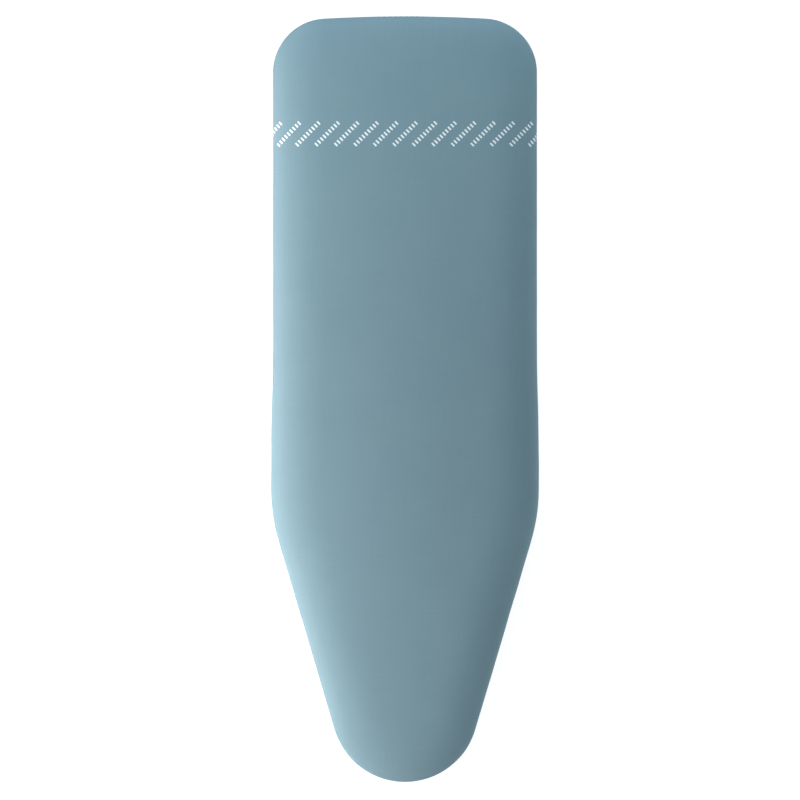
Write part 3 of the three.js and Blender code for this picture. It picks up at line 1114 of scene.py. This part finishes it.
@dataclass
class HemCasing:
    """The binding tape folded round the cord, its two leaves over and under the cloth's edge."""

    outline: Outline
    edge: Edge
    gathers: Gathers
    bore: float = 1.9 * MM
    tape: float = 0.6 * MM
    leaf: float = 7.5 * MM
    mouth_half: float = 18 * MM
    ripple: float = 0.5 * MM
    least_ripple: float = 0.3
    bend_steps: int = 16

    @property
    def inset(self) -> float:
        """How far in from the outline the cord runs."""
        return self.edge.hem_end + self.bore + self.tape + self.edge.gap

    @property
    def leaf_level(self) -> float:
        """How far from the hem's middle a leaf's outer face lies."""
        return self.edge.cloth / 2 + self.edge.gap + self.tape

    def is_open(self, spot: Vector) -> bool:
        """Say whether a place lies in the gap at the middle of the tail, where the cord comes out."""
        return abs(spot.x) < self.mouth_half and spot.y > 0

    def way_round(self) -> list[int]:
        """List the stations that the hem passes.

        Returns:
            Their numbers, from the left of its mouth round to the right.
        """
        stations = self.outline.stations
        middle = len(stations) // 2
        turned = [*range(middle, len(stations)), *range(middle)]
        return [at for at in turned if not self.is_open(stations[at].aside(self.inset))]

    def on_hem(self, number: int, aside: float, level: float) -> Vector:
        """Give a point of the gathered hem.

        Args:
            number: The number of the outline's station.
            aside: How far in from the outline.
            level: How far above the hem's middle, or below it.

        Returns:
            The point, raised and slipped as the gathers have it there, and still by the cord.
        """
        station = self.outline.stations[number]
        rise, slip = self.gathers.fold(number, 1.0)
        held = eased((self.inset - aside) / (self.inset - self.edge.hem_end))
        height = max(self.tape / 2, self.edge.hem_height + level + rise * held)
        return station.raised(aside, height) + station.ahead * slip * held

    def section(self) -> list[Vector]:
        """List the middle line of the tape, from its lower leaf round the cord to its upper leaf.

        Returns:
            The points, with the cord's middle as the origin.
        """
        radius = self.bore + self.tape / 2
        slit = self.leaf_level - self.tape / 2
        close = math.pi - math.asin(slit / radius)
        reach = self.inset - self.edge.hem_end + self.leaf
        turns = [close * (2 * step / self.bend_steps - 1) for step in range(self.bend_steps + 1)]
        fold = -(reach + radius) / 2
        return [
            Vector((-reach, -slit)),
            Vector((fold, -slit)),
            *(Vector((radius * math.cos(turn), radius * math.sin(turn))) for turn in turns),
            Vector((fold, slit)),
            Vector((-reach, slit)),
        ]

    def build(self) -> Piece:
        """Shape the tape, cut its mouth open and give it its thickness.

        Returns:
            The piece.
        """
        stations, section = self.outline.stations, self.section()

        def spot(column: int, row: int) -> Vector:
            """Give a point of the tape, bunched where it is drawn round the cord.

            Args:
                column: The number of the outline's station.
                row: The number of the section's point.

            Returns:
                The point.
            """
            offset = section[row]
            swell = max(0.0, offset.x / self.bore) * (self.least_ripple + self.gathers.spare[column])
            bunch = self.ripple * swell * (0.5 + 0.5 * math.sin(self.gathers.turns[column]))
            return self.on_hem(column, self.inset + offset.x + bunch, offset.y)

        skin = Skin(len(stations), len(section), spot)
        gone = [v for v in skin.mesh.verts if self.is_open(v.co)]
        bmesh.ops.delete(skin.mesh, geom=gone, context="VERTS")
        skin.face_out()
        tape = as_object("hem_binding", skin.mesh, TAPE, crease=80.0)
        wall(tape, self.tape, 0.0)
        return tape


@dataclass
class Drawcord:
    """The braided cord: from the clip through the lock, round the whole hem and back."""

    outline: Outline
    casing: HemCasing
    tip: float
    diameter: float = 3 * MM
    offset: float = 1.7 * MM
    lock_height: float = 4.8 * MM
    exit_radius: float = 14 * MM
    sides: int = 12
    straight_steps: int = 20
    exit_steps: int = 14

    def tail(self, start: float) -> list[Vector]:
        """List the right tail's points, from its tip through the lock and into the hem.

        Args:
            start: Where along the length the tail bends off into the hem.

        Returns:
            The points.
        """
        straight = [
            Vector((self.offset, self.tip + (start - self.tip) * at / self.straight_steps, self.lock_height))
            for at in range(self.straight_steps)
        ]
        bend = []
        for at in range(self.exit_steps + 1):
            turn = RIGHT_ANGLE * at / self.exit_steps
            aside = self.offset + self.exit_radius * (1 - math.cos(turn))
            drop = (self.casing.edge.hem_height - self.lock_height) * ((1 - math.cos(2 * turn)) / 2)
            bend.append(Vector((aside, start + self.exit_radius * math.sin(turn), self.lock_height + drop)))
        return straight + bend

    def route(self) -> list[Vector]:
        """List the cord's points.

        Returns:
            The points, from its left end round the hem to its right end.
        """
        casing, stations = self.casing, self.outline.stations
        hem = [stations[at].raised(casing.inset, casing.edge.hem_height) for at in casing.way_round()]
        right = self.tail(hem[-1].y - self.exit_radius)
        left = [Vector((-p.x, p.y, p.z)) for p in right]
        return left + hem + right[::-1]

    def build(self) -> Piece:
        """Make the cord and report its length.

        Returns:
            The piece.
        """
        route = self.route()
        length = sum((b - a).length for a, b in zip(route, route[1:]))
        LOG.info("drawcord: %.3f m long", length)
        return Tube(route, self.diameter, self.sides).build("braided_drawcord", CORD)


class Face(Enum):
    """The upper or the lower face of the hem."""

    UPPER = 1
    LOWER = -1


@dataclass
class Seam:
    """The lockstitch through tape and cloth: a thread on each face that dips at every stitch hole."""

    outline: Outline
    casing: HemCasing
    pitch: float = 3.5 * MM
    thread: float = 0.45 * MM
    setback: float = 3.4 * MM
    sides: int = 6
    # places along one stitch, and how far above the tape the thread's middle lies there
    stitch_shares: tuple[tuple[float, float], ...] = (
        (0.0, -1.0),
        (0.14, 0.1),
        (0.3, 0.5),
        (0.7, 0.5),
        (0.86, 0.1),
    )

    def route(self, face: Face) -> list[Vector]:
        """List one thread's points.

        Args:
            face: The face of the hem that the thread lies on.

        Returns:
            The points, from one end of the seam to the other.
        """
        inset = self.casing.edge.hem_end - self.setback
        level = face.value * self.casing.leaf_level
        path = [self.casing.on_hem(at, inset, level) for at in self.casing.way_round()]
        lengths = [(b - a).length for a, b in zip(path, path[1:])]
        stitches = int(sum(lengths) / self.pitch)
        runs = [
            ((number + share) * self.pitch, rise)
            for number in range(stitches)
            for share, rise in self.stitch_shares
        ]
        points, at, passed = [], 0, 0.0
        for run, rise in runs:
            while run > passed + lengths[at]:
                passed += lengths[at]
                at += 1
            spot = path[at].lerp(path[at + 1], (run - passed) / lengths[at])
            points.append(spot + Vector((0, 0, face.value * rise * self.thread)))
        return points

    def build(self) -> list[Piece]:
        """Make both threads.

        Returns:
            The pieces.
        """
        return [
            Tube(self.route(face), self.thread, self.sides).build(f"seam_thread_{face.name.lower()}", THREAD)
            for face in Face
        ]


@dataclass
class BarTack:
    """A short block of close stitches that locks each end of the casing, on both faces."""

    outline: Outline
    casing: HemCasing
    strands: int = 8
    height: float = 5.5 * MM
    spread: float = 0.4 * MM
    margin: float = 0.8 * MM
    thread: float = 0.42 * MM
    sides: int = 6

    def route(self, side: int, face: Face) -> list[Vector]:
        """List the thread's points, up one strand and down the next.

        Args:
            side: Minus one for the mouth's left end and one for its right end.
            face: The face of the hem.

        Returns:
            The points.
        """
        casing = self.casing
        tail = [(at, s.place.x) for at, s in enumerate(self.outline.stations) if s.place.y > 0]
        level = face.value * (casing.leaf_level + self.thread / 4)
        middle = casing.edge.hem_end - casing.leaf / 2
        points = []
        for strand in range(self.strands):
            across = side * (casing.mouth_half + self.margin + strand * self.spread)
            number, near = min(tail, key=lambda found: abs(found[1] - across))
            for end in (-1, 1) if strand % 2 else (1, -1):
                spot = casing.on_hem(number, middle + end * self.height / 2, level)
                points.append(spot + Vector((across - near, 0, 0)))
        return points

    def build(self) -> list[Piece]:
        """Make the four bar tacks.

        Returns:
            The pieces.
        """
        return [
            Tube(self.route(side, face), self.thread, self.sides).build(
                f"bar_tack_{word}_{face.name.lower()}", THREAD
            )
            for side, word in ((-1, "left"), (1, "right"))
            for face in Face
        ]


def block(
    start: float, end: float, width: float, height: float, radius: float, edge: float
) -> Form:
    """Make a block along X with a rounded section and rounded ends.

    Args:
        start: Where its first end lies.
        end: Where its second end lies.
        width: Its width along Y.
        height: Its height along Z.
        radius: The radius of its long corners, or nought.
        edge: The radius of the edges round its ends, or nought.

    Returns:
        The block's bmesh, round the X axis.
    """
    mesh = bmesh.new()
    bmesh.ops.create_cube(mesh, size=1.0)
    bmesh.ops.scale(mesh, vec=(end - start, width, height), verts=mesh.verts)
    bmesh.ops.translate(mesh, vec=((start + end) / 2, 0, 0), verts=mesh.verts)
    for offset, segments, lengthwise in ((radius, CORNER_STEPS, True), (edge, EDGE_STEPS, False)):
        if not offset:
            continue
        bmesh.ops.bevel(
            mesh,
            geom=[e for e in mesh.edges if (abs(e.verts[0].co.x - e.verts[1].co.x) > WELD) is lengthwise],
            offset=offset,
            offset_type="OFFSET",
            segments=segments,
            profile=0.5,
            affect="EDGES",
            material=-1,
        )
    return mesh


def rod(radius: float, length: float, sides: int) -> Form:
    """Make a round rod along Z.

    Args:
        radius: Its radius.
        length: Its length.
        sides: How many sides it has.

    Returns:
        The rod's bmesh, with its middle at the origin.
    """
    mesh = bmesh.new()
    bmesh.ops.create_cone(mesh, cap_ends=True, segments=sides, radius1=radius, radius2=radius, depth=length)
    return mesh


def moved(mesh: Form, way: Sequence[float], axis: str | None = None) -> Form:
    """Turn a bmesh by a right angle and move it.

    Args:
        mesh: The bmesh.
        way: How far it moves.
        axis: The axis that it is turned about first, if it is turned.

    Returns:
        The same bmesh.
    """
    if axis:
        bmesh.ops.rotate(mesh, verts=mesh.verts, cent=(0, 0, 0), matrix=Matrix.Rotation(RIGHT_ANGLE, 3, axis))
    bmesh.ops.translate(mesh, verts=mesh.verts, vec=way)
    return mesh


def combined(
    piece: Piece, others: Sequence[Piece], operation: str, rounding: float = 0
) -> bpy.types.Mesh:
    """Work other objects into a piece.

    Args:
        piece: The piece, which is used up.
        others: What is cut out of it or welded to it, which is used up too.
        operation: The Boolean operation.
        rounding: The radius to which the edges are broken afterwards, or nought.

    Returns:
        The mesh that this gives.
    """
    for other in others:
        change = piece.modifiers.new("change", "BOOLEAN")
        change.operation, change.solver, change.object = operation, "EXACT", other
    if rounding:
        broken = piece.modifiers.new("broken_edges", "BEVEL")
        broken.width, broken.segments = rounding, 2
        broken.limit_method, broken.angle_limit = "ANGLE", math.radians(50)
    bpy.context.view_layer.update()
    data = bpy.data.meshes.new_from_object(piece.evaluated_get(bpy.context.evaluated_depsgraph_get()))
    for used in (piece, *others):
        bpy.data.objects.remove(used)
    return data


def carved(
    name: str, body: Form, cutters: Sequence[Form], finish: Finish, rounding: float
) -> Piece:
    """Cut shapes out of a block and break the edges that this leaves.

    Args:
        name: The piece's name.
        body: The block.
        cutters: What is cut out of it.
        finish: Its finish.
        rounding: The radius of the broken edges.

    Returns:
        The piece, with its modifiers worked into its mesh.
    """
    rough = as_object(f"{name}_rough", body, finish)
    tools = [as_object(f"{name}_cutter_{at}", cutter, finish) for at, cutter in enumerate(cutters)]
    data = combined(rough, tools, "DIFFERENCE", rounding)
    mesh = bmesh.new()
    mesh.from_mesh(data)
    bpy.data.meshes.remove(data)
    bmesh.ops.remove_doubles(mesh, verts=mesh.verts, dist=WELD)
    bmesh.ops.recalc_face_normals(mesh, faces=mesh.faces)
    return as_object(name, mesh, finish, crease=MOULDED_CREASE)


def joined(name: str, first: Piece, second: Piece) -> Piece:
    """Weld two mouldings into one.

    Args:
        name: The joined piece's name.
        first: One moulding, which is used up.
        second: The other, which is used up.

    Returns:
        The joined piece.
    """
    material = first.data.materials[0]
    data = combined(first, [second], "UNION")
    data.materials.clear()
    data.materials.append(material)
    data.set_sharp_from_angle(angle=math.radians(MOULDED_CREASE))
    return linked(name, data)


@dataclass
class CordLock:
    """The spring cord lock: a flat barrel, its push button, and the clip on the cord's two ends."""

    drawcord: Drawcord
    middle: Vector
    clip_mouth: float
    running_gap: float = 0.3 * MM
    travel: float = 3.2 * MM
    stem: tuple[float, float] = (10 * MM, 5.6 * MM)
    stem_radius: float = 2.4 * MM
    web: float = 1.8 * MM
    side_wall: float = 1.7 * MM
    wall: float = 1.2 * MM
    mouth_wall: float = 0.8 * MM
    end_wall: float = 1.4 * MM
    spring_room: float = 7.5 * MM
    spring_length: float = 7.2 * MM
    spring_diameter: float = 4.8 * MM
    spring_wire: float = 0.6 * MM
    closed_pitch: float = 1.03
    open_turns: int = 3
    turn_steps: int = 28
    wire_sides: int = 10
    barrel_radius: float = 3.4 * MM
    barrel_edge: float = 0.6 * MM
    barrel_rounding: float = 0.18 * MM
    stem_edge: float = 0.3 * MM
    stem_rounding: float = 0.15 * MM
    head_clearance: float = 0.5 * MM
    head_thickness: float = 3 * MM
    head_overhang: float = 1.4 * MM
    head_edge: float = 0.9 * MM
    head_rounding: float = 0.12 * MM
    grooves: int = 3
    groove_pitch: float = 2.4 * MM
    groove_radius: float = 0.55 * MM
    groove_roundness: float = 0.9
    groove_sides: int = 16
    rib_pitch: float = 1.7 * MM
    rib_lift: float = 0.35
    clip_length: float = 12 * MM
    clip_wall: float = 1.2 * MM
    clip_depth: float = CLIP_DEPTH + 0.3 * MM
    clip_radius: float = 2.8 * MM
    clip_edge: float = 0.9 * MM
    clip_rounding: float = 0.2 * MM
    bore_sides: int = 32
    overrun: float = 1 * MM

    @property
    def grip_half(self) -> float:
        """Half of the window that the two cords fill."""
        return self.drawcord.offset + self.drawcord.diameter / 2 + self.running_gap

    @property
    def bore_end(self) -> float:
        """Where the barrel's bore ends, behind the spring."""
        return -self.grip_half - self.web - self.running_gap - self.spring_room

    @property
    def mouth(self) -> float:
        """Where the barrel's mouth lies."""
        return self.grip_half + self.travel + self.mouth_wall

    def window(self, start: float, end: float) -> Form:
        """Make the cutter of a window through the lock, along the cords."""
        reach = self.stem[0] + 2 * self.side_wall + self.overrun
        return block(start, end, reach, self.drawcord.diameter + 2 * self.running_gap, 0, 0)

    def ribs(self, place: float, height: float, side: int) -> list[Form]:
        """Make the cutters of the grip grooves on one broad face of the barrel, by its closed end.

        Args:
            place: Where the first groove lies along the barrel.
            height: The barrel's height.
            side: One for the upper face and minus one for the lower face.

        Returns:
            The cutters.
        """
        length = self.stem[0] - 2 * self.stem_radius
        level = side * (height / 2 + self.groove_radius * self.rib_lift)
        places = [place + at * self.rib_pitch for at in range(self.grooves)]
        return [moved(rod(self.groove_radius, length, self.groove_sides), (x, 0, level), "X") for x in places]

    def barrel(self) -> Piece:
        """Mould the barrel: blind at the spring's end, open at the button's, with the cords' window.

        Returns:
            The piece.
        """
        bore_width, bore_height = (size + 2 * self.running_gap for size in self.stem)
        width, height = bore_width + 2 * self.side_wall, bore_height + 2 * self.wall
        start = self.bore_end - self.end_wall
        solid = block(start, self.mouth, width, height, self.barrel_radius, self.barrel_edge)
        radius = self.stem_radius + self.running_gap
        bore = block(self.bore_end, self.mouth + self.overrun, bore_width, bore_height, radius, 0)
        cutters = [bore, self.window(-self.grip_half - self.travel, self.grip_half)]
        for side in (1, -1):
            cutters += self.ribs(start + 2 * self.rib_pitch, height, side)
        for mesh in (solid, *cutters):
            moved(mesh, self.middle)
        return carved("lock_barrel", solid, cutters, ACETAL, self.barrel_rounding)

    def button(self) -> Piece:
        """Mould the push button: a stem with a window, and a broad grooved head.

        Returns:
            The piece.
        """
        head_start = self.mouth + self.travel + self.head_clearance
        head_end = head_start + self.head_thickness
        width, height = (size + 2 * self.head_overhang for size in self.stem)
        stem_end = head_start + self.head_thickness / 2
        stem = block(-self.grip_half - self.web, stem_end, *self.stem, self.stem_radius, self.stem_edge)
        radius = self.stem_radius + self.head_overhang
        head = block(head_start, head_end, width, height, radius, self.head_edge)
        cutters = [self.window(-self.grip_half, self.grip_half + self.travel)]
        depth, corner = 2 * self.groove_radius, self.groove_radius * self.groove_roundness
        grooves = []
        for at in range(self.grooves):
            rise = (at - (self.grooves - 1) / 2) * self.groove_pitch
            grooves.append(moved(block(-width, width, depth, depth, corner, 0), (head_end, 0, rise), "Z"))
        for mesh in (stem, head, *cutters, *grooves):
            moved(mesh, self.middle)
        shaft = carved("button_stem", stem, cutters, BUTTON, self.stem_rounding)
        cap = carved("button_head", head, grooves, BUTTON, self.head_rounding)
        return joined("push_button", shaft, cap)

    @property
    def spring_foot(self) -> Vector:
        """The middle of the spring's end that stands against the barrel's closed end."""
        return self.middle + Vector((self.bore_end + self.running_gap, 0, 0))

    def spring(self) -> Piece:
        """Coil the spring from one ring of wire: open turns between two closed ones.

        Returns:
            The piece.
        """
        wire = self.spring_wire
        closed = self.closed_pitch * wire
        spread = (self.spring_length - wire - 2 * closed) / self.open_turns
        coil = bmesh.new()
        bmesh.ops.create_circle(coil, cap_ends=False, segments=self.wire_sides, radius=wire / 2)
        moved(coil, (wire / 2, 0, (self.spring_diameter - wire) / 2), "X")
        ring = coil.verts[:] + coil.edges[:]
        for pitch, turns in ((closed, 1), (spread, self.open_turns), (closed, 1)):
            ring = bmesh.ops.spin(
                coil,
                geom=ring,
                cent=(0, 0, 0),
                axis=(1, 0, 0),
                dvec=(pitch / self.turn_steps, 0, 0),
                angle=FULL_TURN * turns,
                steps=turns * self.turn_steps,
                use_merge=False,
            )["geom_last"]
        bmesh.ops.holes_fill(coil, edges=[edge for edge in coil.edges if edge.is_boundary])
        bmesh.ops.recalc_face_normals(coil, faces=coil.faces)
        return as_object("coil_spring", moved(coil, self.spring_foot), WIRE)

    def clip(self) -> Piece:
        """Mould the clip: a flat oval toggle with a blind bore for each of the cord's ends.

        Returns:
            The piece.
        """
        bore_radius = self.drawcord.diameter / 2 + self.running_gap
        width = 2 * (self.drawcord.offset + bore_radius + self.clip_wall)
        height = 2 * (bore_radius + self.clip_wall)
        body = block(-self.clip_length, 0, width, height, self.clip_radius, self.clip_edge)
        length, middle = self.clip_depth + self.overrun, (self.overrun - self.clip_depth) / 2
        bores = [
            moved(rod(bore_radius, length, self.bore_sides), (middle, side * self.drawcord.offset, 0), "Y")
            for side in (-1, 1)
        ]
        for mesh in (body, *bores):
            moved(mesh, (0, self.clip_mouth, self.middle.z), "Z")
        return carved("cord_clip", body, bores, ACETAL, self.clip_rounding)


@dataclass(frozen=True)
class Panel:
    """A soft lamp: where it hangs and looks, its width and length, its power in watts and its colour."""

    name: str
    place: tuple[float, float, float]
    aim: tuple[float, float, float]
    size: tuple[float, float]
    power: float
    colour: str = "#ffffff"
    # a lamp whose look runs along the cover by more than this share lies across it
    lengthwise: float = 0.8

    def hang(self) -> None:
        """Hang the lamp, its length along the cover, or across it where it looks along the cover."""
        data = bpy.data.lights.new(self.name, "AREA")
        data.shape = "RECTANGLE"
        data.size, data.size_y = self.size
        data.energy = self.power
        data.color = linear(self.colour)[:3]
        back = (Vector(self.place) - Vector(self.aim)).normalized()
        is_lengthwise = abs(back.y) > self.lengthwise
        across = Vector((1, 0, 0)) if is_lengthwise else Vector((0, 1, 0)).cross(back).normalized()
        lamp = linked(self.name, data)
        lamp.location = self.place
        lamp.rotation_mode = "QUATERNION"
        lamp.rotation_quaternion = Matrix((across, back.cross(across), back)).transposed().to_quaternion()
        lamp.visible_camera = False


@dataclass
class Studio:
    """A pale floor, soft strip lamps low on both sides and a long lens straight above."""

    photo: int = 800
    pixel: float = 1.6367 * MM
    middle_x: float = 404.965
    middle_y: float = 399.1
    distance: float = 6.0
    sensor: float = 36.0
    far: float = 50.0
    floor_half: float = 8.0
    floor_drop: float = 0.2 * MM
    floor_glow: float = 0.86
    soft_light: float = 0.05
    panels: tuple[Panel, ...] = (
        Panel("key_left", (-0.70, -0.20, 0.30), (-0.1, -0.20, 0.0), (0.3, 1.8), 11.95, "#fff5ef"),
        Panel("low_left", (-0.50, -0.20, 0.18), (-0.1, -0.20, 0.0), (0.15, 1.8), 1.45, "#fff0ea"),
        Panel("low_nose_left", (-0.50, -0.55, 0.25), (-0.1, -0.50, 0.0), (0.2, 0.8), 1.35, "#fff0ea"),
        Panel("low_right", (0.80, -0.20, 0.12), (0.1, -0.20, 0.0), (0.15, 2.0), 4.3),
        Panel("nose_strip", (0.0, -1.6, 0.6), (0.0, 0.0, 0.0), (1.6, 0.4), 8.2),
        Panel("tail_strip", (0.0, 1.6, 0.8), (0.0, 0.3, 0.0), (1.6, 0.4), 17.6, "#ecf8ff"),
        Panel("under_floor", (0.0, 0.0, -1.5), (0.0, 0.0, 0.0), (2.0, 3.0), 38.0),
    )

    def camera(self) -> None:
        """Hang the camera over the cover so that it fills the frame as in the photograph."""
        data = bpy.data.cameras.new("camera")
        data.sensor_width = self.sensor
        data.lens = self.sensor * self.distance / (self.photo * self.pixel)
        data.clip_end = self.far
        camera = linked("camera", data)
        camera.location = (
            (self.photo / 2 - self.middle_x) * self.pixel,
            (self.middle_y - self.photo / 2) * self.pixel,
            self.distance,
        )
        bpy.context.scene.camera = camera

    def floor(self) -> None:
        """Lay a pale floor that shows white from above, keeps the shadow and isn't seen from below."""
        mesh = bmesh.new()
        bmesh.ops.create_grid(mesh, x_segments=1, y_segments=1, size=self.floor_half)
        moved(mesh, (0, 0, -self.floor_drop))
        data = bpy.data.meshes.new("floor")
        mesh.to_mesh(data)
        mesh.free()
        data.materials.append(self.card())
        linked("floor", data)

    def backdrop_rays(self, tree: bpy.types.NodeTree) -> bpy.types.NodeSocket:
        """Pick out the rays that look at the background.

        Args:
            tree: The material's or world's nodes.

        Returns:
            One for the camera's own rays and for those in gloss and glass, and nought for the rest.
        """
        ray = add_node(tree, "LightPath").outputs
        either = ray["Is Camera Ray"]
        for other in (ray["Is Glossy Ray"], ray["Is Transmission Ray"]):
            either = add_node(tree, "Math", {0: either, 1: other}, operation="MAXIMUM").outputs[0]
        return either

    def card(self) -> bpy.types.Material:
        """Mix the floor's white: pale matt card on its upper side, with the light from below let through.

        Returns:
            The material.
        """
        made = bpy.data.materials.new("matt_pale_card")
        tree = bare_nodes(made)
        card = add_node(tree, "BsdfDiffuse", {"Color": linear("#a0a0a0")})
        glow = add_node(tree, "Emission", {"Strength": self.floor_glow})
        lit = add_node(tree, "AddShader", {0: card.outputs[0], 1: glow.outputs[0]})
        below = add_node(tree, "NewGeometry").outputs["Backfacing"]
        above = add_node(tree, "Math", {0: 1.0, 1: below}, operation="SUBTRACT")
        seen = {0: self.backdrop_rays(tree), 1: above.outputs[0]}
        shown = add_node(tree, "Math", seen, operation="MULTIPLY")
        clear = add_node(tree, "BsdfTransparent")
        mixed = add_node(tree, "MixShader", {0: shown.outputs[0], 1: clear.outputs[0], 2: lit.outputs[0]})
        add_node(tree, "OutputMaterial", {"Surface": mixed.outputs[0]})
        return made

    def world(self) -> None:
        """Fill the studio with a little even light."""
        world = bpy.data.worlds.new("studio")
        tree = bare_nodes(world)
        soft, bare = (
            add_node(tree, "Background", {"Color": (1, 1, 1, 1), "Strength": strength})
            for strength in (self.soft_light, 1.0)
        )
        either = {0: self.backdrop_rays(tree), 1: soft.outputs[0], 2: bare.outputs[0]}
        mix = add_node(tree, "MixShader", either)
        add_node(tree, "OutputWorld", {"Surface": mix.outputs[0]})
        bpy.context.scene.world = world

    def build(self) -> None:
        """Set up camera, floor, world and lamps."""
        bpy.context.scene.view_settings.view_transform = "Standard"
        self.camera()
        self.floor()
        self.world()
        for panel in self.panels:
            panel.hang()


def enter(piece: Piece, body: str, slot: str, node: str | None = None) -> None:
    """Say which body carries a piece and which node it replaces, and report it.

    Args:
        piece: The piece.
        body: The body that it rides on.
        slot: Its material slot; not used.
        node: The node that it stands for, if it stands for one.
    """
    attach(piece, body)
    if node:
        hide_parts(node)
    LOG.info("%s: %d faces", piece.name, len(piece.data.polygons))


def main() -> None:
    """Build the studio and every piece of the cover, and report each one."""
    logging.basicConfig(level=logging.INFO, format="%(name)s: %(message)s")
    Studio().build()
    low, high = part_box("cover_cloth")
    outline = Outline(length=high.y - low.y, widest_width=high.x - low.x)
    edge = Edge(top=high.z)

    gathers = Gathers(outline)
    cover = CoverCloth(outline, edge, gathers)
    cloth = cover.build()
    enter(cloth, "cover", "cover_cotton", "cover_cloth")

    felt_depth = edge.cloth + edge.gap
    foam_depth = felt_depth + edge.felt + edge.gap
    for layer in (
        Pad("felt_pad", "felt_layer", "felt", FELT, outline, edge, felt_depth, felt_depth + edge.felt),
        Pad("foam_pad", "foam_layer", "foam", FOAM, outline, edge, foam_depth, edge.depth),
    ):
        pad = layer.build()
        enter(pad, "cover", layer.slot, layer.node)
    cover.flat_area()
    LOG.info("cloth: cut %s, %.3f square metres", cover.flat_size(), cover.flat_area())

    casing = HemCasing(outline, edge, gathers)
    enter(casing.build(), "cover", "binding_tape", "hem_casing")
    clip_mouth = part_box("cord_end")[1].y
    drawcord = Drawcord(outline, casing, clip_mouth - CLIP_DEPTH)
    enter(drawcord.build(), "cover", "braided_cord", "drawcord")
    for thread in Seam(outline, casing).build() + BarTack(outline, casing).build():
        enter(thread, "cover", "binding_tape")

    low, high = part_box("lock_body")
    lock = CordLock(drawcord, Vector((0, (low.y + high.y) / 2, (low.z + high.z) / 2)), clip_mouth)
    enter(lock.barrel(), "lock", "lock_plastic", "lock_body")
    enter(lock.button(), "plunger", "button_plastic", "lock_plunger")
    enter(lock.clip(), "cover", "lock_plastic", "cord_end")
    spring = lock.spring()
    enter(spring, "lock", "spring_steel", "lock_spring")
    # the button's stem would shorten the spring by its whole travel; the spring is left at its given length,
    # and its foot is worked out again and not used
    tuple(lock.spring_foot)
    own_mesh(spring)


if __name__ == "__main__":
    main()
